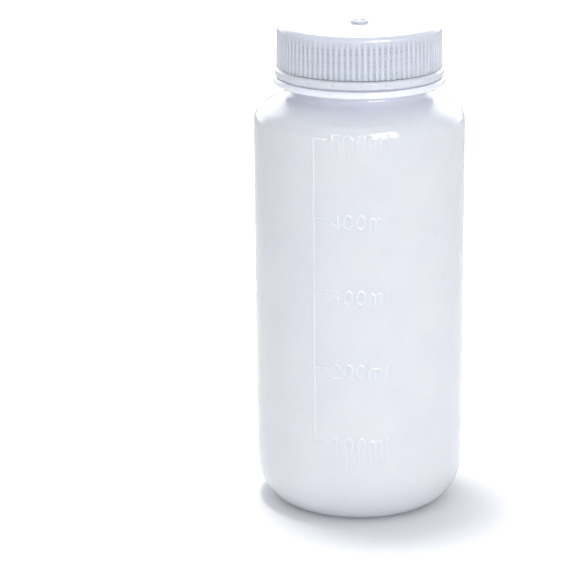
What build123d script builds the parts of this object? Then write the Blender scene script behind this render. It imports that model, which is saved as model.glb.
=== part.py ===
from build123d import *
import os
from math import cos, radians, sin, tan

# Wide-mouth reagent bottle, 500 ml, with a ribbed screw cap, a foam sealing liner and a
# loose tamper-evident band on its neck.
# Frame: origin at the centre of the standing plane, +Z up along the bottle's axis, and the
# raised graduations face -Y. All sizes are in millimetres.

# ---- bottle body ----
BODY_R = 36.3
WALL = 1.4
HEEL_R = 11.3             # how far the heel's rounding reaches inwards
HEEL_H = 16.6             # how far it reaches upwards
STAND_R = 22.5            # inner edge of the flat standing ring
PUSH_UP = 2.4             # rise of the domed bottom inside the standing ring
SHOULDER_Z = 139.8        # where the straight side would meet the sloping shoulder
SHOULDER_SLOPE = 28.0     # degrees above horizontal
SHOULDER_FILLET = 6.0
NECK_FILLET = 4.0
NECK_R = 24.0             # plain neck below the flange
BORE_R = 22.4

# ---- neck finish ----
FLANGE_R = 29.5
FLANGE_Z0 = 149.4
FLANGE_Z1 = 151.8
FLANGE_ROUND = 0.95
ROOT_ROUND = 0.3          # small fillets where the flange and the bead meet the wall
FINISH_R = 25.05          # wall that carries the thread
BEAD_R = 27.3             # bead that holds the tamper-evident band down
BEAD_Z0 = 153.6
BEAD_Z1 = 154.8
BEAD_RAMP = 0.4           # how far its catching side falls towards the wall
BEAD_ROUND = 0.25
LAND_Z = 167.4            # sealing land at the mouth
LAND_ROUND = 0.4

# ---- thread, right-hand ----
PITCH = 25.4 / 6
THREAD_FLANK = 30.0       # degrees from the radial direction
NECK_CREST_R = 26.2
NECK_CREST_HALF = 0.55    # half the width of the ridge's crest
NECK_THREAD_Z = 157.0     # middle of the ridge at its lower end
NECK_THREAD_START = -40.0 # azimuth of that end
NECK_THREAD_TURNS = 2.1
CAP_CREST_R = 25.35
CAP_CREST_HALF = 0.45
CAP_THREAD_LAG = 105.0    # azimuth from the neck thread's lower end to the cap thread's
CAP_THREAD_TURNS = 2.25
LOADED_GAP = 0.12         # gap between the two flanks that pull the cap down
ROOT_BITE = 0.25          # how deep each ridge is rooted in its wall

# ---- screw cap ----
CAP_Z0 = 155.35
CAP_Z1 = 170.0
CAP_BORE_R = 26.45
CAP_TOP_R = 28.2
CAP_HEM_R = 28.46         # the side drafts outwards towards the hem
CAP_TOP_ROUND = 1.8
CAP_STEP_R = 24.6         # shallow raised disc on the top plate
CAP_STEP_H = 0.15
RIB_COUNT = 90
GROOVE_R = 0.62
GROOVE_DEPTH = 0.5
GROOVE_TOP_Z = 167.3
GROOVE_OVERRUN = 1.0      # how far the groove's tool runs out below the hem
GATE_R = 3.4              # moulding gate boss in the middle of the top
GATE_H = 0.9
GATE_TAPER = 0.6
GATE_RECESS_R = 2.3
GATE_RECESS_H = 0.5
GATE_NUB_R = 0.7
GATE_NUB_H = 0.3
GATE_EDGE = 0.2           # slant of the recess's and the nub's sides

# ---- sealing liner ----
LINER_R = 26.0
LINER_T = 1.0

# ---- tamper-evident band ----
BAND_Z0 = 152.0
BAND_Z1 = 155.2
BAND_R = 29.0
BAND_BORE_R = 27.6
BAND_CHAMFER = 0.65       # bevel on its top edge
BAND_CHAMFER_H = 0.8
BAND_TAPER = 0.5          # taper towards the flange
BAND_TAPER_H = 0.9
LUG_COUNT = 20
LUG_TIP_R = 26.3
LUG_Z0 = 152.5
LUG_Z1 = 153.35
LUG_W = 1.6
LUG_BITE = 0.2            # how deep each lug is rooted in the band
POCKET_Z = 153.5          # shallow pocket that the mould leaves outside each lug
POCKET_H = 1.0
POCKET_W = 0.7
POCKET_DEPTH = 0.25

# ---- raised graduations ----
MARK_HEIGHT = 0.3
MARK_BITE = 0.5           # how deep the raised marks are rooted in the wall
STROKE = 0.45
MARK_COUNT = 5            # one mark for each 100 ml
FIRST_MARK_Z = 31.3
MARK_SPACING = 26.2
TOP_MARK_RISE = 1.2       # the last mark sits higher, where the shoulder begins to narrow
SCALE_X = -15.3           # vertical line of the scale
TICK_L = 4.2
TEXT_X = -9.6             # left edge of the figures
TEXT_DROP = 0.8           # how far the middle of the figures lies below their mark
GLYPH_H = 4.6             # all glyph sizes are to the middle of the stroke
DIGIT_ASPECT = 0.62       # width of a nought over its height
GLYPH_STEP = 4.3


def turned(outline):
    """Solid of revolution about Z of a closed outline in the XZ plane."""
    return revolve(make_face(Plane.XZ * outline), Axis.Z, 360)


def around(piece, count):
    """Copies of a piece at equal steps about Z."""
    return [piece.rotate(Axis.Z, 360 * i / count) for i in range(count)]


def shell_line(inset):
    """Side, shoulder and neck of the body, inset from the outer surface by a wall."""
    slope = radians(SHOULDER_SLOPE)
    side_r = BODY_R - inset
    neck_r = NECK_R if inset <= 0 else BORE_R
    corner_z = SHOULDER_Z - inset * (1 - sin(slope)) / cos(slope)
    neck_z = corner_z + (side_r - neck_r) * tan(slope)
    return side_r, corner_z, neck_r, neck_z


def body_outline():
    """Closed outline of the body's wall, from the outer bottom round to the inner one."""
    side_r, corner_z, neck_r, neck_z = shell_line(0)
    in_side_r, in_corner_z, in_neck_r, in_neck_z = shell_line(WALL)
    heel_x = BODY_R - HEEL_R
    bottom = TangentArc((0, PUSH_UP), (STAND_R, 0), tangent=(1, 0))
    stand = Line((STAND_R, 0), (heel_x, 0))
    heel = EllipticalCenterArc((heel_x, HEEL_H), HEEL_R, HEEL_H, 270, arc_size=90)
    outside = FilletPolyline(
        (side_r, HEEL_H),
        (side_r, corner_z),
        (neck_r, neck_z),
        (neck_r, FLANGE_Z0),
        (FLANGE_R, FLANGE_Z0),
        (FLANGE_R, FLANGE_Z1),
        (FINISH_R, FLANGE_Z1),
        (FINISH_R, BEAD_Z0 - BEAD_RAMP),
        (BEAD_R, BEAD_Z0),
        (FINISH_R, BEAD_Z1),
        (FINISH_R, LAND_Z),
        (in_neck_r, LAND_Z),
        (in_neck_r, in_neck_z),
        (in_side_r, in_corner_z),
        (in_side_r, HEEL_H),
        radius=[
            SHOULDER_FILLET,
            NECK_FILLET,
            ROOT_ROUND,
            FLANGE_ROUND,
            FLANGE_ROUND,
            ROOT_ROUND,
            ROOT_ROUND,
            BEAD_ROUND,
            ROOT_ROUND,
            LAND_ROUND,
            LAND_ROUND,
            NECK_FILLET + WALL,
            SHOULDER_FILLET - WALL,
        ],
    )
    in_heel = EllipticalCenterArc((heel_x, HEEL_H), HEEL_R - WALL, HEEL_H - WALL, 270, arc_size=90)
    in_stand = Line((heel_x, WALL), (STAND_R, WALL))
    in_bottom = TangentArc((0, PUSH_UP + WALL), (STAND_R, WALL), tangent=(1, 0))
    axis = Line((0, PUSH_UP + WALL), (0, PUSH_UP))
    return bottom + stand + heel + outside + in_heel + in_stand + in_bottom + axis


def helix_at(r, z, start_angle, turns):
    """Right-hand helix edge about Z that starts at an azimuth and a height."""
    edge = Edge.make_helix(PITCH, PITCH * turns, r)
    return edge.rotate(Axis.Z, start_angle).translate((0, 0, z))


def thread_ridge(root_r, crest_r, crest_half, z, start_angle, turns):
    """Helical ridge with a trapezoid section, as one closed solid."""
    root_half = crest_half + abs(root_r - crest_r) * tan(radians(THREAD_FLANK))
    corners = [
        (root_r, -root_half),
        (crest_r, -crest_half),
        (crest_r, crest_half),
        (root_r, root_half),
    ]
    edges = [helix_at(r, z + dz, start_angle, turns) for r, dz in corners]
    sides = [Face.make_surface_from_curves(edges[i], edges[(i + 1) % 4]) for i in range(4)]
    ends = []
    for where in (0, 1):
        points = [edge @ where for edge in edges]
        ends.append(Face(Wire.make_polygon(points, close=True)))
    return Solid(Shell(sides + ends))


def neck_thread():
    """Outside thread on the neck."""
    return thread_ridge(
        FINISH_R - ROOT_BITE,
        NECK_CREST_R,
        NECK_CREST_HALF,
        NECK_THREAD_Z,
        NECK_THREAD_START,
        NECK_THREAD_TURNS,
    )


def cap_thread():
    """Inside thread of the cap, one flank gap below the neck's thread."""
    overlap = NECK_CREST_R - CAP_CREST_R
    below = NECK_CREST_HALF + CAP_CREST_HALF + overlap * tan(radians(THREAD_FLANK)) + LOADED_GAP
    z = NECK_THREAD_Z - below + PITCH * CAP_THREAD_LAG / 360
    return thread_ridge(
        CAP_BORE_R + ROOT_BITE,
        CAP_CREST_R,
        CAP_CREST_HALF,
        z,
        NECK_THREAD_START + CAP_THREAD_LAG,
        CAP_THREAD_TURNS,
    )


def bar(*points):
    """Straight strokes through points, given in fractions of a glyph's height."""
    return trace(Polyline([(x * GLYPH_H, y * GLYPH_H) for x, y in points]), STROKE)


def bow(x, y, r, start, size):
    """Round stroke about a centre, in fractions of a glyph's height and in degrees."""
    return trace(CenterArc((x * GLYPH_H, y * GLYPH_H), r * GLYPH_H, start, size), STROKE)


def zero():
    """Oval stroke that fills a glyph's cell."""
    half_w = GLYPH_H * DIGIT_ASPECT / 2
    half_h = GLYPH_H / 2
    outer = Ellipse(half_w + STROKE / 2, half_h + STROKE / 2)
    inner = Ellipse(half_w - STROKE / 2, half_h - STROKE / 2)
    return Pos(half_w, half_h) * (outer - inner)


def glyph(character):
    """Plain character whose lower left corner is at the origin."""
    if character == "0":
        return zero()
    if character == "1":
        return bar((0.12, 0.8), (0.38, 1.0), (0.38, 0.0))
    if character == "2":
        return bow(0.3, 0.7, 0.3, 165, -195) + bar((0.56, 0.55), (0.0, 0.0), (0.62, 0.0))
    if character == "3":
        return bow(0.28, 0.76, 0.24, 150, -240) + bow(0.28, 0.26, 0.26, 90, -240)
    if character == "4":
        return bar((0.5, 0.0), (0.5, 1.0), (0.0, 0.3)) + bar((0.0, 0.3), (0.7, 0.3))
    if character == "5":
        return bar((0.58, 1.0), (0.1, 1.0), (0.06, 0.5)) + bow(0.28, 0.31, 0.31, 138, -280)
    if character == "m":
        legs = [bar((x, 0.0), (x, 0.6)) for x in (0.0, 0.44, 0.88)]
        bows = [bow(x, 0.54, 0.22, 180, -180) for x in (0.22, 0.66)]
        return legs[0] + legs[1:] + bows
    return bar((0.42, 0.0), (0.42, 1.0))


def mark_height(number):
    """Height of a mark above the standing plane."""
    rise = TOP_MARK_RISE if number == MARK_COUNT - 1 else 0
    return FIRST_MARK_Z + MARK_SPACING * number + rise


def scale_outlines():
    """Flat outlines of the whole scale, drawn in X and Z: line, ticks and figures."""
    low = mark_height(0)
    high = mark_height(MARK_COUNT - 1)
    outlines = [Pos(SCALE_X, (low + high) / 2) * Rectangle(STROKE, high - low + STROKE)]
    for number in range(MARK_COUNT):
        z = mark_height(number)
        outlines.append(Pos(SCALE_X + TICK_L / 2, z) * Rectangle(TICK_L, STROKE))
        text_z = z - TEXT_DROP - GLYPH_H / 2
        for place, character in enumerate(f"{number + 1}00ml"):
            outlines.append(Pos(TEXT_X + place * GLYPH_STEP, text_z) * glyph(character))
    return outlines


def skin():
    """Thin shell over the side and shoulder that the raised marks are cut from."""
    low = HEEL_H
    high_r = NECK_R + NECK_FILLET
    slope = tan(radians(SHOULDER_SLOPE))
    lines = []
    for inset in (-MARK_HEIGHT, MARK_BITE):
        side_r, corner_z, _, _ = shell_line(inset)
        top = (high_r, corner_z + (side_r - high_r) * slope)
        path = FilletPolyline((side_r, low), (side_r, corner_z), top, radius=SHOULDER_FILLET - inset)
        lines.append((path, (side_r, low), top))
    (outer, outer_low, outer_top), (inner, inner_low, inner_top) = lines
    return turned(outer + Line(outer_top, inner_top) + inner + Line(inner_low, outer_low))


def raised_marks():
    """The scale as curved raised strokes that follow the body's surface."""
    front = Plane(origin=(0, 0, 0), x_dir=(1, 0, 0), z_dir=(0, -1, 0))
    prisms = [extrude(front * outline, BODY_R + 2 * MARK_HEIGHT) for outline in scale_outlines()]
    return skin() & (Part() + prisms)


def bottle_body():
    """Blow-moulded bottle with its neck finish and raised scale."""
    return turned(body_outline()) + neck_thread() + raised_marks()


def side_radius(z):
    """Radius of the cap's drafted side at a height."""
    return CAP_HEM_R + (CAP_TOP_R - CAP_HEM_R) * (z - CAP_Z0) / (CAP_Z1 - CAP_Z0)


def grip_groove():
    """Tool for one groove of the grip, with a round upper end."""
    offset = GROOVE_R - GROOVE_DEPTH
    low_z = CAP_Z0 - GROOVE_OVERRUN
    high_z = GROOVE_TOP_Z - GROOVE_R
    low = Vector(side_radius(low_z) + offset, 0, low_z)
    high = Vector(side_radius(high_z) + offset, 0, high_z)
    along = high - low
    shank = Solid.make_cylinder(GROOVE_R, along.length, Plane(origin=low, z_dir=along))
    tip = Pos(high.X, high.Y, high.Z) * Sphere(GROOVE_R)
    return shank + tip


def cap_outline():
    """Closed outline of the cap's wall, with the gate boss in the middle of its top."""
    ceiling = LAND_Z + LINER_T
    top = CAP_Z1 - CAP_STEP_H
    boss = CAP_Z1 + GATE_H
    recess = boss - GATE_RECESS_H
    inside = Polyline((0, ceiling), (CAP_BORE_R, ceiling), (CAP_BORE_R, CAP_Z0), (CAP_HEM_R, CAP_Z0))
    outside = FilletPolyline(
        (CAP_HEM_R, CAP_Z0),
        (CAP_TOP_R, top),
        (CAP_STEP_R, top),
        radius=[CAP_TOP_ROUND],
    )
    plate = Polyline(
        (CAP_STEP_R, top),
        (CAP_STEP_R - CAP_STEP_H, CAP_Z1),
        (GATE_R, CAP_Z1),
        (GATE_R - GATE_TAPER, boss),
        (GATE_RECESS_R, boss),
        (GATE_RECESS_R - GATE_EDGE, recess),
        (GATE_NUB_R, recess),
        (GATE_NUB_R - GATE_EDGE, recess + GATE_NUB_H),
        (0, recess + GATE_NUB_H),
        (0, ceiling),
    )
    return inside + outside + plate


def screw_cap():
    """Ribbed screw cap with its inside thread."""
    return turned(cap_outline()) - around(grip_groove(), RIB_COUNT) + cap_thread()


def sealing_liner():
    """Foam wad between the mouth's land and the cap."""
    return Pos(0, 0, LAND_Z + LINER_T / 2) * Cylinder(LINER_R, LINER_T)


def tamper_band():
    """Loose ring under the cap, held down by lugs that catch below the neck's bead."""
    outline = Polyline(
        (BAND_BORE_R, BAND_Z0),
        (BAND_R - BAND_TAPER, BAND_Z0),
        (BAND_R, BAND_Z0 + BAND_TAPER_H),
        (BAND_R, BAND_Z1 - BAND_CHAMFER_H),
        (BAND_R - BAND_CHAMFER, BAND_Z1),
        (BAND_BORE_R, BAND_Z1),
        (BAND_BORE_R, BAND_Z0),
    )
    lug_l = BAND_BORE_R + LUG_BITE - LUG_TIP_R
    lug = Pos(LUG_TIP_R + lug_l / 2, 0, (LUG_Z0 + LUG_Z1) / 2) * Box(lug_l, LUG_W, LUG_Z1 - LUG_Z0)
    pocket = Pos(BAND_R, 0, POCKET_Z) * Box(2 * POCKET_DEPTH, POCKET_W, POCKET_H)
    return turned(outline) + around(lug, LUG_COUNT) - around(pocket, LUG_COUNT)


os.makedirs("parts", exist_ok=True)
pieces = {
    "bottle_body": bottle_body(),
    "screw_cap": screw_cap(),
    "sealing_liner": sealing_liner(),
    "tamper_band": tamper_band(),
}
for name, piece in pieces.items():
    export_step(piece, f"parts/{name}.step")
    print(name, "solids", len(piece.solids()), "valid", piece.is_valid, "volume", round(piece.volume, 1))
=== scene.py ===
import math

import bpy
import numpy as np
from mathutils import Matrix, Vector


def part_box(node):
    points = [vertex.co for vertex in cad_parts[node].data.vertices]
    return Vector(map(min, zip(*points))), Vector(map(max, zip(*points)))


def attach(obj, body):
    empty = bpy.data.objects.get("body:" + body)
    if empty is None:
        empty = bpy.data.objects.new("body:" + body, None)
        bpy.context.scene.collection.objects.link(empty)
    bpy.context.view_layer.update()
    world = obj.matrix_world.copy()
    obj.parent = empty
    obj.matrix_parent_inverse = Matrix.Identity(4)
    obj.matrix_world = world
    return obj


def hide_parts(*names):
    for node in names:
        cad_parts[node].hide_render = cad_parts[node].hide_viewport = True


# Reagent bottle: fine meshes, milky plastics, white studio. Every mesh is a turned outline with
# a relief on it, worked out in millimetres on the CAD's axis, with its sizes taken from the
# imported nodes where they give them.

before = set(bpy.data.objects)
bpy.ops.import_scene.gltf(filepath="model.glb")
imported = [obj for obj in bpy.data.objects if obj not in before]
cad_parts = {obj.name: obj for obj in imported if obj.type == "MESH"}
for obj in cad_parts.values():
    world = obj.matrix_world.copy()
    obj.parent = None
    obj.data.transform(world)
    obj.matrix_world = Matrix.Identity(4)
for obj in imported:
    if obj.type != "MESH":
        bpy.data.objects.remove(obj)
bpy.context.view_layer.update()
body_low, body_high = [corner * 1000 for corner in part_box("bottle_body")]
cap_low, cap_high = [corner * 1000 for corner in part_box("screw_cap")]
liner_low, liner_high = [corner * 1000 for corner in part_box("sealing_liner")]
band_low, band_high = [corner * 1000 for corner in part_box("tamper_band")]

MM = 0.001

# ---- bottle body, millimetres ----
BODY_R = body_high.x
WALL = 1.4
HEEL_R = 11.3
HEEL_H = 16.6
STAND_R = 22.5
PUSH_UP = 2.4
SHOULDER_Z = 139.8
SHOULDER_SLOPE = math.radians(28)
SHOULDER_FILLET = 6.0
NECK_FILLET = 4.0
NECK_R = 24.0
BORE_R = 22.4
LAND_Z = body_high.z
LAND_ROUND = 0.4
DOME_POINTS = 10          # points of the bottom's dome
HEEL_POINTS = 16
FLANGE_R = 29.5
FLANGE_Z0 = 149.4
FLANGE_Z1 = 151.8
FLANGE_ROUND = 0.95
ROOT_ROUND = 0.3
FINISH_R = 25.05
BEAD_R = 27.3
BEAD_Z0 = 153.6
BEAD_Z1 = 154.8
BEAD_RAMP = 0.4
BEAD_ROUND = 0.25

# ---- threads ----
PITCH = 25.4 / 6
FLANK = math.tan(math.radians(30))
NECK_CREST_R = 26.2
NECK_CREST_HALF = 0.55
NECK_THREAD_Z = 157.0
NECK_THREAD_START = -40.0
NECK_THREAD_TURNS = 2.1
CAP_CREST_R = 25.35
CAP_CREST_HALF = 0.45
CAP_THREAD_LAG = 105.0
CAP_THREAD_TURNS = 2.25
LOADED_GAP = 0.12
RUN_OUT = 0.06            # share of a turn over which a ridge fades at its ends

# ---- screw cap ----
CAP_Z0 = cap_low.z
CAP_Z1 = 170.0
CAP_BORE_R = 26.45
CAP_TOP_R = 28.2
CAP_HEM_R = 28.46
CAP_TOP_ROUND = 1.8
CAP_EDGE_ROUND = 0.15
CAP_STEP_R = 24.6
CAP_STEP_H = 0.15
CAP_STEP_HALF = 3 * CAP_STEP_H      # half the width of the ring over which the step slopes
CAP_STEP_ROUND = 0.2
CEILING_RINGS = (3, 10, 18, 23)     # radii of the rows on the cap's ceiling
CORNER_REACH = 0.2        # how far the rows of the bore's rounded corners reach
HEM_REACH = 0.25          # the same up the bore from the hem
RIB_COUNT = 90
GROOVE_R = 0.62
GROOVE_DEPTH = 0.5
GROOVE_TOP_Z = 167.3
GROOVE_COLUMNS = (0.4, 0.75, 0.93, 1, 1.15)   # beside a groove's middle, in half widths
GATE_R = 3.4
GATE_Z = cap_high.z
GATE_TAPER = 0.6
GATE_RECESS_R = 2.3
GATE_RECESS_H = 0.5
GATE_NUB_R = 0.7
GATE_NUB_H = 0.3
GATE_EDGE = 0.2
GATE_ROOT_ROUND = 0.15
GATE_TOP_ROUND = 0.2
GATE_RECESS_ROUND = 0.1
GATE_NUB_ROUND = 0.08

# ---- liner and band ----
LINER_R = liner_high.x
LINER_EDGE = 0.25
LINER_MIDDLE_R = 2        # radius of the innermost rows
BAND_R = band_high.x
BAND_BORE_R = 27.6
BAND_CHAMFER = 0.65
BAND_CHAMFER_H = 0.8
BAND_TAPER = 0.5
BAND_TAPER_H = 0.9
BAND_EDGE = 0.12
BAND_SEAM_IN = 0.2        # where its inside begins and ends, outwards from the bore
BAND_SEAM_OUT = 0.3       # where its outside begins and ends
LUG_COUNT = 20
LUG_TIP_R = 26.3
LUG_Z0 = 152.5
LUG_Z1 = 153.35
LUG_W = 1.6
LUG_SLOPE = 0.04          # width of the sloping sides of a lug
LUG_COLUMNS = (0.95, 1.05)          # beside a lug's middle, in half widths
POCKET_Z = 153.5
POCKET_H = 1.0
POCKET_W = 0.7
POCKET_DEPTH = 0.25
POCKET_SLOPE = 0.2
POCKET_COLUMNS = (0, 0.4, 0.7, 1, 1.3)

# ---- raised graduations ----
MARK_HEIGHT = 0.3
MARK_EDGE = 0.15          # half the width of a stroke's sloping edge
STROKE = 0.45
MARK_COUNT = 5
FIRST_MARK_Z = 31.3
MARK_SPACING = 26.2
TOP_MARK_RISE = 1.2
SCALE_X = -15.3
TICK_L = 4.2
TEXT_X = -9.6
TEXT_DROP = 0.8
GLYPH_H = 4.6
DIGIT_ASPECT = 0.62
GLYPH_STEP = 4.3

# ---- fineness of the meshes ----
ARC_STEP = math.radians(9)
ARC_LENGTH = 0.3
TURN_STEP = 15            # degrees, roughly, between the points of a figure's bows
OVAL_POINTS = 25
COLUMN_STEP = 2.5         # degrees between the plain columns of the body and the liner
CAP_COLUMN_STEP = 2.0     # the same for the cap and the band
MARK_COLUMNS = (-117.5, -70.0, 8)   # from, to and fineness of the columns under the scale
MARK_ROW = 0.2
PLAIN_ROW = 4.0
THREAD_ROW = 0.25
CAP_ROW = 2.0
GROOVE_END_ROW = 0.1      # at the round upper ends of the grooves
LINER_ROW = 3.0
BAND_ROW = 0.12
BAND_INSIDE_ROW = 0.06
ROW_STRETCH = 1.4         # how many steps long a last step may be
TINY = 1e-9
FAR_AWAY = 10.0

# ---- looks ----
SHADE_Z = 161.8           # painted shade lines of the thread in the cap's grooves: height where the angle is 0
SHADE_PAIR = 1.4          # distance between the two lines of a pair
SHADE_W = 0.5
SHADE_FOOT = (0.8, 1.4)   # the lines fade in between these heights above the hem
SHADE_HEAD = 0.6          # and out over this height below the grooves' ends
SHADE_INSIDE = (-0.4, -0.2)         # fades in and out by radius, from the grooves' bottoms
SHADE_OUTSIDE = (0.1, 0.48)
SHADE_PATCH = 5           # size of the patches in which the lines are fainter
PATCH_SPAN = (0.35, 0.65)           # the part of their noise that is used
PATCH_LEAST = 0.45        # what is left of a line where it is faintest
# painted shade: how dark the thread lines in the cap's grooves get
LINE_SHADE = 0.6
# painted shade over each cap groove as a whole, where a recess lies in shade
GROOVE_SHADE = 0.12
# colour of the painted shade in the cap's grooves
SHADE_COLOUR = (0.30, 0.34, 0.42, 1.0)
SPECK_COLOUR = (0.35, 0.38, 0.45, 1.0)
SPECK_SIZE = 0.9
SPECK_SPAN = (0.78, 0.82)           # the noise at which a speck begins and is full
SPECK_SHARE = 0.35
CLOUD_SIZE = 22
CLOUD_DARK = 0.97
CLOUD_LIGHT = 1.02
NOISE_SPAN = (0.3, 0.7)   # the part of the clouds' and the gloss's noise that is used
GLOSS_SIZE = 6
FINE_BUMP = (0.5, 0.004)  # size and height, millimetres
WAVY_BUMP = (9, 0.12)
LIGHT_DEPTH = 5           # how far light goes into the plastics, millimetres
FOAM_LIGHT = (0.93, 0.93, 0.91, 1)
FOAM_DARK = (0.82, 0.82, 0.81, 1)
FOAM_CELL = 0.35
FOAM_BUMP = 0.05

# ---- studio: metres, and light as a share of full white ----
AIM_Z = 0.13
FRONT_LIGHT = 0.68
LEFT_LIGHT = 0.4
RIGHT_LIGHT = 0.4
LEFT_SPAN = (-0.9, 0.1)   # directions over which the light changes, -1 left to 1 right
RIGHT_SPAN = (0.3, 0.9)
CEILING_SPAN = (0.3, 0.9)           # the same for height, -1 down to 1 up
CEILING_SHARE = 1.85
WALL_LIGHT = 3.1
WALL_SIDE = 0.65
WALL_TOP = 0.57
WALL_BLUR = 0.1
ROOM_TINT = (0.94, 0.96, 1.0)
SHOWN_LIGHT = 1.2         # what the camera sees of the room
FLOOR_SIZE = 12
FLOOR_GREY = (0.6, 0.6, 0.6, 1)
NEAR_GLOW = 0.1
FAR_GLOW = 0.8
GLOW_SPAN = (0.15, 0.6)   # distances of the near and the far glow

# ---- camera ----
SENSOR_MM = 36.0
LENS_MM = 161.02
SHIFT_X = -0.1198
CAMERA_Y = -0.8704
CAMERA_Z = 0.3341
CAMERA_TILT = 16.445      # degrees downwards


# ---------------------------------------------------------------- outlines


def rounded(corners):
    """Outline through (r, z, radius) corners, each rounded by an arc of its radius."""
    spots = [np.array(corner[:2], float) for corner in corners]
    line = []
    for i, here in enumerate(spots):
        radius = corners[i][2]
        if radius == 0:
            line.append(here)
            continue
        back = (spots[i - 1] - here) / np.linalg.norm(spots[i - 1] - here)
        ahead = (spots[i + 1] - here) / np.linalg.norm(spots[i + 1] - here)
        turn = math.pi - math.acos(float(back @ ahead))
        middle = (back + ahead) / np.linalg.norm(back + ahead)
        centre = here + middle * radius / math.cos(turn / 2)
        spoke = here + back * radius * math.tan(turn / 2) - centre
        side = 1 if back[0] * ahead[1] - back[1] * ahead[0] < 0 else -1
        count = math.ceil(max(turn / ARC_STEP, radius * turn / ARC_LENGTH))
        for angle in np.linspace(0, side * turn, count + 1):
            c, s = math.cos(angle), math.sin(angle)
            line.append(centre + np.array((c * spoke[0] - s * spoke[1], s * spoke[0] + c * spoke[1])))
    return line


def walked(line, step_at):
    """Outline with points added so that none is further from the last than the step at its height."""
    points = [np.array(line[0], float)]
    for start, end in zip(line, line[1:]):
        start, end = np.array(start, float), np.array(end, float)
        length = np.linalg.norm(end - start)
        done = 0.0
        while True:
            here = start + (end - start) * done / max(length, TINY)
            step = step_at(here[1])
            if length - done <= ROW_STRETCH * step:
                break
            done += step
            points.append(start + (end - start) * done / length)
        points.append(end)
    return points


def even(step):
    """The same step at every height."""
    return lambda z: step


def columns(step, extra=()):
    """Column angles in degrees round the axis, in rising order from -180."""
    angles = np.concatenate([np.arange(-180, 180, step), np.array(extra, float).ravel()])
    return np.unique(np.round((angles + 180) % 360, 4) % 360 - 180)


# ---------------------------------------------------------------- turned meshes


def placed(line, angles, relief):
    """Points of one section: rows of the outline by columns, with the relief added."""
    outline = np.array(line, float)
    r, z = outline[:, :1], outline[:, 1:]
    turn = angles[None, :]
    out, up = relief(turn, r, z) if relief else (0, 0)
    r = r + out + 0 * turn
    z = z + up + 0 * turn
    return np.stack([r * np.cos(np.radians(turn)), r * np.sin(np.radians(turn)), z], axis=-1)


def run(start, stops, i, count):
    """Point numbers of one row from its stop i to the next stop, going round at the end."""
    last = stops[i + 1] if i + 1 < len(stops) else count + stops[0]
    return [start + number % count for number in range(stops[i], last + 1)]


def strip(low, high):
    """Faces between two rows, each (first point number, angles); one row has the other's columns."""
    shared = low[1] if len(low[1]) <= len(high[1]) else high[1]
    low_stops = np.searchsorted(low[1], shared)
    high_stops = np.searchsorted(high[1], shared)
    return [
        run(low[0], low_stops, i, len(low[1])) + run(high[0], high_stops, i, len(high[1]))[::-1]
        for i in range(len(shared))
    ]


def spin(name, sections, sharp, ring=False):
    """Closed mesh of turned sections (outline, angles, relief), with the given sharp angle.
    A plain one starts and ends on the axis; a ring joins its last row to its first."""
    points, rows, faces = [], [], []
    for line, angles, relief in sections:
        for row in placed(line, angles, relief):
            rows.append((len(points), angles))
            points.extend(row)
    for low, high in zip(rows, rows[1:]):
        faces += strip(low, high)
    if ring:
        faces += strip(rows[-1], rows[0])
    else:
        for (start, angles), flip in ((rows[0], False), (rows[-1], True)):
            count = len(angles)
            height = np.mean([points[start + i][2] for i in range(count)])
            points.append(np.array((0, 0, height)))
            for i in range(count):
                pair = [start + i, start + (i + 1) % count]
                faces.append([len(points) - 1] + (pair if flip else pair[::-1]))
    mesh = bpy.data.meshes.new(name)
    mesh.from_pydata([tuple(point * MM) for point in points], [], faces)
    mesh.validate()
    mesh.shade_smooth()
    mesh.set_sharp_from_angle(angle=math.radians(sharp))
    piece = bpy.data.objects.new(name, mesh)
    bpy.context.scene.collection.objects.link(piece)
    return piece


# ---------------------------------------------------------------- reliefs


def smooth(x):
    """Soft step from 0 to 1 as x goes from 0 to 1."""
    x = np.clip(x, 0, 1)
    return x * x * (3 - 2 * x)


def ridge(turn, z, low_z, start, turns, crest_half, height):
    """Height of a helical thread ridge at angles and heights."""
    root_half = crest_half + height * FLANK
    best = 0 * turn * z
    for whole in range(-1, math.ceil(turns) + 1):
        along = (turn - start) / 360 + whole
        fade = smooth(np.minimum(along, turns - along) / RUN_OUT)
        off = np.abs(z - low_z - PITCH * along)
        shape = np.clip((root_half - off) / (height * FLANK), 0, 1)
        best = np.maximum(best, height * shape * fade)
    return best


def neck_thread(turn, r, z):
    """Outside thread of the neck."""
    height = NECK_CREST_R - FINISH_R
    where = (NECK_THREAD_Z, NECK_THREAD_START, NECK_THREAD_TURNS)
    return ridge(turn, z, *where, NECK_CREST_HALF, height), 0


def cap_thread(turn, r, z):
    """Inside thread of the cap, one flank gap below the neck's thread."""
    overlap = (NECK_CREST_R - CAP_CREST_R) * FLANK
    below = NECK_CREST_HALF + CAP_CREST_HALF + overlap + LOADED_GAP
    low_z = NECK_THREAD_Z - below + PITCH * CAP_THREAD_LAG / 360
    start = NECK_THREAD_START + CAP_THREAD_LAG
    height = CAP_BORE_R - CAP_CREST_R
    return -ridge(turn, z, low_z, start, CAP_THREAD_TURNS, CAP_CREST_HALF, height), 0


def bow(x, y, r, start, size):
    """Points of a round stroke, in fractions of a glyph's height and in degrees."""
    angles = np.radians(start + np.linspace(0, size, max(3, round(abs(size) / TURN_STEP))))
    return [(x + r * math.cos(a), y + r * math.sin(a)) for a in angles]


def oval():
    """Points of an oval stroke that fills a glyph's cell."""
    half = DIGIT_ASPECT / 2
    angles = np.linspace(0, 2 * math.pi, OVAL_POINTS)
    return [(half + half * math.cos(a), 0.5 + 0.5 * math.sin(a)) for a in angles]


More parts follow.
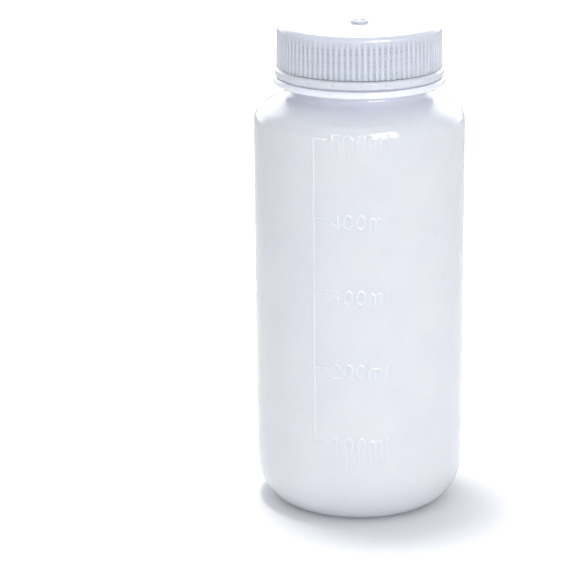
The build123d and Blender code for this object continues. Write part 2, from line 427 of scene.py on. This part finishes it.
def glyph(character):
    """Strokes of a plain character whose lower left corner is at the origin."""
    if character == "0":
        return [oval()]
    if character == "1":
        return [[(0.12, 0.8), (0.38, 1.0), (0.38, 0.0)]]
    if character == "2":
        return [bow(0.3, 0.7, 0.3, 165, -195), [(0.56, 0.55), (0.0, 0.0), (0.62, 0.0)]]
    if character == "3":
        return [bow(0.28, 0.76, 0.24, 150, -240), bow(0.28, 0.26, 0.26, 90, -240)]
    if character == "4":
        return [[(0.5, 0.0), (0.5, 1.0), (0.0, 0.3), (0.7, 0.3)]]
    if character == "5":
        return [[(0.58, 1.0), (0.1, 1.0), (0.06, 0.5)], bow(0.28, 0.31, 0.31, 138, -280)]
    if character == "m":
        legs = [[(x, 0.0), (x, 0.6)] for x in (0.0, 0.44, 0.88)]
        return legs + [bow(x, 0.54, 0.22, 180, -180) for x in (0.22, 0.66)]
    return [[(0.42, 0.0), (0.42, 1.0)]]


def mark_height(number):
    """Height of a mark above the standing plane."""
    rise = TOP_MARK_RISE if number == MARK_COUNT - 1 else 0
    return FIRST_MARK_Z + MARK_SPACING * number + rise


def scale_strokes():
    """Every stroke of the scale as points in x and z: line, ticks and figures."""
    strokes = [[(SCALE_X, mark_height(0)), (SCALE_X, mark_height(MARK_COUNT - 1))]]
    for number in range(MARK_COUNT):
        z = mark_height(number)
        strokes.append([(SCALE_X, z), (SCALE_X + TICK_L, z)])
        low = z - TEXT_DROP - GLYPH_H / 2
        for place, character in enumerate(f"{number + 1}00ml"):
            left = TEXT_X + place * GLYPH_STEP
            for stroke in glyph(character):
                strokes.append([(left + x * GLYPH_H, low + y * GLYPH_H) for x, y in stroke])
    return strokes


def scale_relief(turn, r, z):
    """Raised scale on the front of the body."""
    x = r * np.cos(np.radians(turn))
    nearest = np.full(np.broadcast(x, z).shape, FAR_AWAY)
    for stroke in scale_strokes():
        for (x0, z0), (x1, z1) in zip(stroke, stroke[1:]):
            dx, dz = x1 - x0, z1 - z0
            share = np.clip(((x - x0) * dx + (z - z0) * dz) / (dx * dx + dz * dz), 0, 1)
            nearest = np.minimum(nearest, np.hypot(x - x0 - share * dx, z - z0 - share * dz))
    height = MARK_HEIGHT * smooth((STROKE / 2 + MARK_EDGE - nearest) / (2 * MARK_EDGE))
    return np.where(np.sin(np.radians(turn)) < 0, height, 0), 0


def grooves(turn, r, z):
    """Grip grooves of the cap with their round upper ends."""
    pitch = 360 / RIB_COUNT
    across = np.radians((turn + pitch / 2) % pitch - pitch / 2) * r
    above = np.maximum(z - GROOVE_TOP_Z + GROOVE_R, 0)
    inside = np.sqrt(np.maximum(GROOVE_R**2 - across**2 - above**2, 0))
    return -np.maximum(inside - GROOVE_R + GROOVE_DEPTH, 0), 0


def box_relief(turn, r, z, width, low, high, edge):
    """1 inside each of the band's repeated boxes and 0 outside, with sloping edges."""
    pitch = 360 / LUG_COUNT
    across = np.abs(np.radians((turn + pitch / 2) % pitch - pitch / 2) * r)
    beside = (width / 2 - across) / edge + 0.5
    upright = np.minimum(z - low, high - z) / edge + 0.5
    return np.clip(np.minimum(beside, upright), 0, 1)


def pockets(turn, r, z):
    """Shallow mould pockets on the outside of the band."""
    low, high = POCKET_Z - POCKET_H / 2, POCKET_Z + POCKET_H / 2
    return -POCKET_DEPTH * smooth(box_relief(turn, r, z, POCKET_W, low, high, POCKET_SLOPE)), 0


def lugs(turn, r, z):
    """Lugs on the inside of the band that catch below the neck's bead."""
    height = LUG_TIP_R - BAND_BORE_R
    return height * box_relief(turn, r, z, LUG_W, LUG_Z0, LUG_Z1, LUG_SLOPE), 0


# ---------------------------------------------------------------- pieces


def shell_line(inset):
    """Side, shoulder corner and neck corner of the body, inset from its outer surface."""
    side_r = BODY_R - inset
    neck_r = NECK_R if inset == 0 else BORE_R
    corner_z = SHOULDER_Z - inset * (1 - math.sin(SHOULDER_SLOPE)) / math.cos(SHOULDER_SLOPE)
    return side_r, corner_z, neck_r, corner_z + (side_r - neck_r) * math.tan(SHOULDER_SLOPE)


def dome(rise):
    """Push-up of the bottom from the axis to the standing ring."""
    radius = (STAND_R**2 + PUSH_UP**2) / (2 * PUSH_UP)
    reach = np.linspace(STAND_R / DOME_POINTS, STAND_R, DOME_POINTS)
    return [(r, rise - radius + math.sqrt(radius**2 - r**2)) for r in reach]


def heel(inset):
    """Elliptical heel from the standing ring up to the side."""
    reach, height = HEEL_R - inset, HEEL_H - inset
    angles = np.linspace(0, math.pi / 2, HEEL_POINTS)
    centre = BODY_R - HEEL_R
    return [(centre + reach * math.sin(a), HEEL_H - height * math.cos(a)) for a in angles]


def mark_rows(z):
    """Step between the body's rows: fine where a mark or its figures lie."""
    for number in range(MARK_COUNT):
        middle = mark_height(number) - TEXT_DROP
        if abs(z - middle) < GLYPH_H / 2 + 4 * MARK_ROW:
            return MARK_ROW
    return PLAIN_ROW


def bottle_body():
    """Blow-moulded bottle with its scale, flange, bead and thread."""
    side_r, corner_z, neck_r, neck_z = shell_line(0)
    in_side_r, in_corner_z, in_neck_r, in_neck_z = shell_line(WALL)
    plain = columns(COLUMN_STEP)
    low, high, fineness = MARK_COLUMNS
    fine = columns(COLUMN_STEP, np.arange(low, high, COLUMN_STEP / fineness))
    shoulder = rounded(
        [
            (side_r, HEEL_H, 0),
            (side_r, corner_z, SHOULDER_FILLET),
            (neck_r, neck_z, NECK_FILLET),
            (neck_r, FLANGE_Z0 - 2 * ROOT_ROUND, 0),
        ]
    )
    finish = rounded(
        [
            (neck_r, FLANGE_Z0 - 1.5 * ROOT_ROUND, 0),
            (neck_r, FLANGE_Z0, ROOT_ROUND),
            (FLANGE_R, FLANGE_Z0, FLANGE_ROUND),
            (FLANGE_R, FLANGE_Z1, FLANGE_ROUND),
            (FINISH_R, FLANGE_Z1, ROOT_ROUND),
            (FINISH_R, BEAD_Z0 - BEAD_RAMP, ROOT_ROUND),
            (BEAD_R, BEAD_Z0, BEAD_ROUND),
            (FINISH_R, BEAD_Z1, ROOT_ROUND),
            (FINISH_R, BEAD_Z1 + ROOT_ROUND, 0),
        ]
    )
    threaded = walked(
        [(FINISH_R, BEAD_Z1 + 2 * ROOT_ROUND), (FINISH_R, LAND_Z - 2 * LAND_ROUND)],
        even(THREAD_ROW),
    )
    inside = rounded(
        [
            (FINISH_R, LAND_Z - 1.5 * LAND_ROUND, 0),
            (FINISH_R, LAND_Z, LAND_ROUND),
            (in_neck_r, LAND_Z, LAND_ROUND),
            (in_neck_r, in_neck_z, NECK_FILLET + WALL),
            (in_side_r, in_corner_z, SHOULDER_FILLET - WALL),
            (in_side_r, HEEL_H + 1, 0),
        ]
    )
    bottom_inside = heel(WALL)[::-1] + dome(PUSH_UP + WALL)[::-1][1:]
    return spin(
        "bottle",
        [
            (dome(PUSH_UP)[:-1] + heel(0)[:-1], plain, None),
            (walked(shoulder, mark_rows), fine, scale_relief),
            (walked(finish, even(PLAIN_ROW)), plain, None),
            (threaded, plain, neck_thread),
            (walked(inside, even(PLAIN_ROW)) + bottom_inside, plain, None),
        ],
        sharp=50,
    )


def cap_outside(fine):
    """Hem, ribbed side and rounded top edge of the cap."""
    top = CAP_Z1 - CAP_STEP_H
    line = rounded(
        [
            (CAP_HEM_R - 2 * CAP_EDGE_ROUND, CAP_Z0, 0),
            (CAP_HEM_R, CAP_Z0, CAP_EDGE_ROUND),
            (CAP_TOP_R, top, CAP_TOP_ROUND),
            (CAP_TOP_R - CAP_TOP_ROUND - 0.1, top, 0),
        ]
    )
    low, high = GROOVE_TOP_Z - 1.5 * GROOVE_R, GROOVE_TOP_Z + GROOVE_END_ROW
    return walked(line, lambda z: GROOVE_END_ROW if low < z < high else CAP_ROW), fine, grooves


def cap_top():
    """Top plate with its shallow step and the gate boss in the middle."""
    top = CAP_Z1 - CAP_STEP_H
    recess = GATE_Z - GATE_RECESS_H
    nub = recess + GATE_NUB_H
    line = rounded(
        [
            (CAP_STEP_R + 1, top, 0),
            (CAP_STEP_R + CAP_STEP_HALF, top, CAP_STEP_ROUND),
            (CAP_STEP_R - CAP_STEP_HALF, CAP_Z1, CAP_STEP_ROUND),
            (GATE_R, CAP_Z1, GATE_ROOT_ROUND),
            (GATE_R - GATE_TAPER, GATE_Z, GATE_TOP_ROUND),
            (GATE_RECESS_R, GATE_Z, GATE_RECESS_ROUND),
            (GATE_RECESS_R - GATE_EDGE, recess, GATE_RECESS_ROUND),
            (GATE_NUB_R, recess, GATE_NUB_ROUND),
            (GATE_NUB_R - GATE_EDGE, nub, GATE_NUB_ROUND),
            (GATE_NUB_R - 2 * GATE_EDGE, nub, 0),
        ]
    )
    return walked(line, even(PLAIN_ROW)), columns(CAP_COLUMN_STEP), None


def screw_cap():
    """Ribbed cap: ceiling, threaded bore, side, top."""
    half = math.degrees(math.sqrt(GROOVE_R**2 - (GROOVE_R - GROOVE_DEPTH) ** 2) / CAP_TOP_R)
    pitch = 360 / RIB_COUNT
    steps = [0] + [side * step for side in (-1, 1) for step in GROOVE_COLUMNS]
    beside = [[rib * pitch + half * step for step in steps] for rib in range(RIB_COUNT)]
    fine = columns(CAP_COLUMN_STEP, beside)
    ceiling = LAND_Z + liner_high.z - liner_low.z
    plain = columns(CAP_COLUMN_STEP)
    bore = walked(
        [
            (CAP_BORE_R, ceiling - 2 * CAP_EDGE_ROUND),
            (CAP_BORE_R, CAP_Z0 + 2 * CAP_EDGE_ROUND),
        ],
        even(THREAD_ROW),
    )
    upper_corner = rounded(
        [
            (CAP_BORE_R - CORNER_REACH, ceiling, 0),
            (CAP_BORE_R, ceiling, CAP_EDGE_ROUND),
            (CAP_BORE_R, ceiling - CORNER_REACH, 0),
        ]
    )
    lower_corner = rounded(
        [
            (CAP_BORE_R, CAP_Z0 + HEM_REACH, 0),
            (CAP_BORE_R, CAP_Z0, CAP_EDGE_ROUND),
            (CAP_BORE_R + CORNER_REACH, CAP_Z0, 0),
        ]
    )
    rings = (*CEILING_RINGS, CAP_BORE_R - 2 * CAP_EDGE_ROUND)
    return spin(
        "cap",
        [
            ([(r, ceiling) for r in rings], plain, None),
            (upper_corner, plain, None),
            (bore, plain, cap_thread),
            (lower_corner, plain, None),
            cap_outside(fine),
            cap_top(),
        ],
        sharp=45,
    )


def sealing_liner():
    """Foam disc with soft edges."""
    low, high = liner_low.z, liner_high.z
    line = rounded(
        [
            (LINER_MIDDLE_R, low, 0),
            (LINER_R, low, LINER_EDGE),
            (LINER_R, high, LINER_EDGE),
            (LINER_MIDDLE_R, high, 0),
        ]
    )
    return spin("liner", [(walked(line, even(LINER_ROW)), columns(COLUMN_STEP), None)], sharp=60)


def tamper_band():
    """Loose band with bevelled edges, mould pockets and inside lugs."""
    low, high = band_low.z, band_high.z
    outside = rounded(
        [
            (BAND_BORE_R + BAND_SEAM_OUT, low, 0),
            (BAND_R - BAND_TAPER, low, BAND_EDGE),
            (BAND_R, low + BAND_TAPER_H, BAND_EDGE),
            (BAND_R, high - BAND_CHAMFER_H, 2 * BAND_EDGE),
            (BAND_R - BAND_CHAMFER, high, BAND_EDGE),
            (BAND_BORE_R + BAND_SEAM_OUT, high, 0),
        ]
    )
    inside = rounded(
        [
            (BAND_BORE_R + BAND_SEAM_IN, high, 0),
            (BAND_BORE_R, high, BAND_EDGE),
            (BAND_BORE_R, low, BAND_EDGE),
            (BAND_BORE_R + BAND_SEAM_IN, low, 0),
        ]
    )
    pitch = 360 / LUG_COUNT
    half_lug = math.degrees(LUG_W / 2 / BAND_BORE_R)
    half_pocket = math.degrees(POCKET_W / 2 / BAND_R)
    steps = [half_lug * share for share in LUG_COLUMNS]
    steps += [half_pocket * share for share in POCKET_COLUMNS]
    offsets = steps + [-step for step in steps]
    beside = [[lug * pitch + step for step in offsets] for lug in range(LUG_COUNT)]
    angles = columns(CAP_COLUMN_STEP, beside)
    return spin(
        "band",
        [
            (walked(outside, even(BAND_ROW)), angles, pockets),
            (walked(inside, even(BAND_INSIDE_ROW)), angles, lugs),
        ],
        sharp=50,
        ring=True,
    )


# ---------------------------------------------------------------- materials


def add(tree, kind, **values):
    """New shader node with input values by socket name."""
    node = tree.nodes.new(kind)
    for name, value in values.items():
        node.inputs[name].default_value = value
    return node


def feed(tree, socket, value):
    """Give a socket a constant or the value of another socket."""
    if isinstance(value, bpy.types.NodeSocket):
        tree.links.new(value, socket)
    else:
        socket.default_value = value


def maths(tree, operation, *values):
    """Result of a math node."""
    node = tree.nodes.new("ShaderNodeMath")
    node.operation = operation
    for socket, value in zip(node.inputs, values):
        feed(tree, socket, value)
    return node.outputs[0]


def split(tree, place):
    """The three parts of a position."""
    node = tree.nodes.new("ShaderNodeSeparateXYZ")
    tree.links.new(place, node.inputs[0])
    return node.outputs


def noise(tree, place, size_mm, detail=2.0):
    """Noise whose features are about size_mm across, between 0 and 1."""
    node = add(tree, "ShaderNodeTexNoise", Scale=1 / (size_mm * MM), Detail=detail)
    tree.links.new(place, node.inputs["Vector"])
    return node.outputs["Fac"]


def ranged(tree, value, low, high, to_low, to_high):
    """Value mapped from one range to another, clamped."""
    node = tree.nodes.new("ShaderNodeMapRange")
    for socket, part in zip(node.inputs, (value, low, high, to_low, to_high)):
        feed(tree, socket, part)
    return node.outputs[0]


def blended(tree, share, first, second):
    """Colour between two colours by a share."""
    node = tree.nodes.new("ShaderNodeMix")
    node.data_type = "RGBA"
    for number, value in ((0, share), (6, first), (7, second)):
        feed(tree, node.inputs[number], value)
    return node.outputs[2]


def thread_shade(tree, place):
    """Painted shade in the cap's grooves: lines where the thread shows through their thin bottoms,
    over a fainter painted shade of the whole groove.
    """
    x, y, z = split(tree, place)
    squares = [maths(tree, "MULTIPLY", part, part) for part in (x, y)]
    radius = maths(tree, "SQRT", maths(tree, "ADD", *squares))
    turns = maths(tree, "DIVIDE", maths(tree, "ARCTAN2", y, x), 2 * math.pi)
    rise = maths(tree, "DIVIDE", maths(tree, "SUBTRACT", z, SHADE_Z * MM), PITCH * MM)
    away = maths(tree, "PINGPONG", maths(tree, "SUBTRACT", rise, turns), 0.5)
    off = maths(tree, "ABSOLUTE", maths(tree, "SUBTRACT", away, SHADE_PAIR / 2 / PITCH))
    line = ranged(tree, off, 0.0, SHADE_W / PITCH, 1, 0)
    foot = [(CAP_Z0 + height) * MM for height in SHADE_FOOT]
    low = ranged(tree, z, *foot, 0, 1)
    uneven = ranged(tree, noise(tree, place, SHADE_PATCH), *PATCH_SPAN, PATCH_LEAST, 1)
    for part in (low, uneven):
        line = maths(tree, "MULTIPLY", line, part)
    # painted shade: the whole groove a little darker, the thread lines darker still
    shade = ranged(tree, line, 0, 1, GROOVE_SHADE, GROOVE_SHADE + LINE_SHADE)
    bottom_r = CAP_TOP_R - GROOVE_DEPTH
    outside = ranged(tree, radius, *[(bottom_r + step) * MM for step in SHADE_INSIDE], 0, 1)
    below_crest = ranged(tree, radius, *[(bottom_r + step) * MM for step in SHADE_OUTSIDE], 1, 0)
    below_top = ranged(tree, z, (GROOVE_TOP_Z - SHADE_HEAD) * MM, GROOVE_TOP_Z * MM, 1, 0)
    for part in (outside, below_crest, below_top):
        shade = maths(tree, "MULTIPLY", shade, part)
    return shade


def milky_plastic(name, colour, roughness, shade=None):
    """Translucent natural plastic: light goes a few millimetres into it, and its gloss wanders.
    A painted shade, if given, darkens it where something shows through and in hollows."""
    material = bpy.data.materials.new(name)
    material.use_nodes = True
    tree = material.node_tree
    shader = tree.nodes["Principled BSDF"]
    place = tree.nodes.new("ShaderNodeTexCoord").outputs["Object"]
    cloud = noise(tree, place, CLOUD_SIZE)
    light = [min(1.0, part * CLOUD_LIGHT) for part in colour] + [1.0]
    dark = [part * CLOUD_DARK for part in colour] + [1.0]
    tint = blended(tree, ranged(tree, cloud, *NOISE_SPAN, 0, 1), dark, light)
    speck = ranged(tree, noise(tree, place, SPECK_SIZE, 1.0), *SPECK_SPAN, 0, SPECK_SHARE)
    tint = blended(tree, speck, tint, SPECK_COLOUR)
    if shade:
        tint = blended(tree, shade(tree, place), tint, SHADE_COLOUR)
    tree.links.new(tint, shader.inputs["Base Color"])
    gloss = noise(tree, place, GLOSS_SIZE)
    wander = ranged(tree, gloss, *NOISE_SPAN, roughness * 0.8, roughness * 1.2)
    tree.links.new(wander, shader.inputs["Roughness"])
    shader.inputs["IOR"].default_value = 1.5
    shader.inputs["Subsurface Weight"].default_value = 1.0
    shader.inputs["Subsurface Radius"].default_value = (1.0, 1.0, 1.0)
    shader.inputs["Subsurface Scale"].default_value = LIGHT_DEPTH * MM
    fine_size, fine_height = FINE_BUMP
    fine = add(tree, "ShaderNodeBump", Strength=1.0, Distance=fine_height * MM)
    tree.links.new(noise(tree, place, fine_size, 3.0), fine.inputs["Height"])
    wavy_size, wavy_height = WAVY_BUMP
    wavy = add(tree, "ShaderNodeBump", Strength=1.0, Distance=wavy_height * MM)
    tree.links.new(noise(tree, place, wavy_size, 1.0), wavy.inputs["Height"])
    tree.links.new(fine.outputs["Normal"], wavy.inputs["Normal"])
    tree.links.new(wavy.outputs["Normal"], shader.inputs["Normal"])
    return material


def liner_foam():
    """White closed-cell foam."""
    material = bpy.data.materials.new("liner_foam")
    material.use_nodes = True
    tree = material.node_tree
    shader = tree.nodes["Principled BSDF"]
    place = tree.nodes.new("ShaderNodeTexCoord").outputs["Object"]
    cells = add(tree, "ShaderNodeTexVoronoi", Scale=1 / (FOAM_CELL * MM))
    tree.links.new(place, cells.inputs["Vector"])
    tint = blended(tree, cells.outputs["Distance"], FOAM_LIGHT, FOAM_DARK)
    tree.links.new(tint, shader.inputs["Base Color"])
    shader.inputs["Roughness"].default_value = 0.85
    bump = add(tree, "ShaderNodeBump", Strength=0.6, Distance=FOAM_BUMP * MM)
    bump.invert = True
    tree.links.new(cells.outputs["Distance"], bump.inputs["Height"])
    tree.links.new(bump.outputs["Normal"], shader.inputs["Normal"])
    return material


# ---------------------------------------------------------------- studio


def seen(tree):
    """1 for what the camera sees directly and 0 for every other ray."""
    return tree.nodes.new("ShaderNodeLightPath").outputs["Is Camera Ray"]


def white_floor():
    """Plain white floor. It glows for the camera, less near the bottle, where its shadow lies."""
    bpy.ops.mesh.primitive_plane_add(size=FLOOR_SIZE)
    floor = bpy.context.object
    floor.name = "floor"
    material = bpy.data.materials.new("floor_white")
    material.use_nodes = True
    tree = material.node_tree
    shader = tree.nodes["Principled BSDF"]
    shader.inputs["Base Color"].default_value = FLOOR_GREY
    shader.inputs["Roughness"].default_value = 0.9
    shader.inputs["Specular IOR Level"].default_value = 0.0
    shader.inputs["Emission Color"].default_value = (1, 1, 1, 1)
    distance = tree.nodes.new("ShaderNodeVectorMath")
    distance.operation = "LENGTH"
    place = tree.nodes.new("ShaderNodeTexCoord").outputs["Object"]
    tree.links.new(place, distance.inputs[0])
    glow = ranged(tree, distance.outputs["Value"], *GLOW_SPAN, NEAR_GLOW, FAR_GLOW)
    feed(tree, shader.inputs["Emission Strength"], maths(tree, "MULTIPLY", seen(tree), glow))
    floor.data.materials.append(material)
    return floor


def bright_room():
    """White room: a bright wall behind, a ceiling brighter than the front, and dimmer sides.
    The camera sees it as plain white."""
    world = bpy.data.worlds.new("room")
    bpy.context.scene.world = world
    world.use_nodes = True
    tree = world.node_tree
    light = tree.nodes["Background"]
    place = tree.nodes.new("ShaderNodeTexCoord").outputs["Generated"]
    sideways, depth, height = split(tree, place)
    wall = maths(
        tree,
        "MULTIPLY",
        ranged(tree, depth, WALL_SIDE - WALL_BLUR, WALL_SIDE + WALL_BLUR, 0, 1),
        ranged(tree, height, WALL_TOP - WALL_BLUR, WALL_TOP + WALL_BLUR, 1, 0),
    )
    left = ranged(tree, sideways, *LEFT_SPAN, LEFT_LIGHT, FRONT_LIGHT)
    right = ranged(tree, sideways, *RIGHT_SPAN, FRONT_LIGHT, RIGHT_LIGHT)
    ceiling = ranged(tree, height, *CEILING_SPAN, 1, CEILING_SHARE)
    room = maths(tree, "MULTIPLY", maths(tree, "MINIMUM", left, right), ceiling)
    feed(tree, light.inputs["Strength"], ranged(tree, wall, 0, 1, room, WALL_LIGHT))
    light.inputs["Color"].default_value = (*ROOM_TINT, 1)
    shown = add(tree, "ShaderNodeBackground", Strength=SHOWN_LIGHT)
    shown.inputs["Color"].default_value = (1, 1, 1, 1)
    mix = tree.nodes.new("ShaderNodeMixShader")
    for number, value in enumerate((seen(tree), light.outputs[0], shown.outputs[0])):
        feed(tree, mix.inputs[number], value)
    tree.links.new(mix.outputs[0], tree.nodes["World Output"].inputs["Surface"])


def softbox(name, azimuth, elevation, distance, size, power):
    """Area light that looks at the bottle; azimuth is from the front towards the right."""
    light = bpy.data.lights.new(name, "AREA")
    light.shape = "RECTANGLE"
    light.size, light.size_y = size
    light.energy = power
    lamp = bpy.data.objects.new(name, light)
    bpy.context.scene.collection.objects.link(lamp)
    side, up = math.radians(azimuth), math.radians(elevation)
    lamp.location = (
        distance * math.cos(up) * math.sin(side),
        -distance * math.cos(up) * math.cos(side),
        distance * math.sin(up) + AIM_Z,
    )
    lamp.rotation_euler = (math.pi / 2 - up, 0, side)
    return lamp


def camera():
    """Long lens in front of the bottle and a little above it."""
    data = bpy.data.cameras.new("camera")
    data.sensor_width = SENSOR_MM
    data.lens = LENS_MM
    data.shift_x = SHIFT_X
    view = bpy.data.objects.new("camera", data)
    bpy.context.scene.collection.objects.link(view)
    view.location = (0, CAMERA_Y, CAMERA_Z)
    view.rotation_euler = (math.radians(90 - CAMERA_TILT), 0, 0)
    bpy.context.scene.camera = view


bpy.context.scene.view_settings.view_transform = "Standard"
camera()
floor = white_floor()
bright_room()
shine = softbox("shine", azimuth=30, elevation=30, distance=1.2, size=(0.56, 0.7), power=18)
shine.visible_diffuse = False
fill = softbox("fill", azimuth=13, elevation=8, distance=1.2, size=(0.5, 0.5), power=6.2)
fill.visible_glossy = False
fill.data.color = ROOM_TINT
overhead = softbox("overhead", azimuth=-140, elevation=82, distance=0.6, size=(0.16, 0.16), power=5)
lit = bpy.data.collections.new("lit_from_overhead")
lit.objects.link(floor)
overhead.light_linking.receiver_collection = lit

pieces = [
    (bottle_body(), "bottle", "bottle_body", "bottle_plastic",
     milky_plastic("bottle_plastic", (0.80, 0.82, 0.94), roughness=0.07)),
    (screw_cap(), "cap", "screw_cap", "cap_plastic",
     milky_plastic("cap_plastic", (0.61, 0.64, 0.71), roughness=0.12, shade=thread_shade)),
    (sealing_liner(), "liner", "sealing_liner", "liner_foam", liner_foam()),
    (tamper_band(), "band", "tamper_band", "band_plastic",
     milky_plastic("band_plastic", (0.74, 0.77, 0.90), roughness=0.07)),
]
for piece, body, node, slot, material in pieces:
    piece.data.materials.append(material)
    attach(piece, body)
    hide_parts(node)
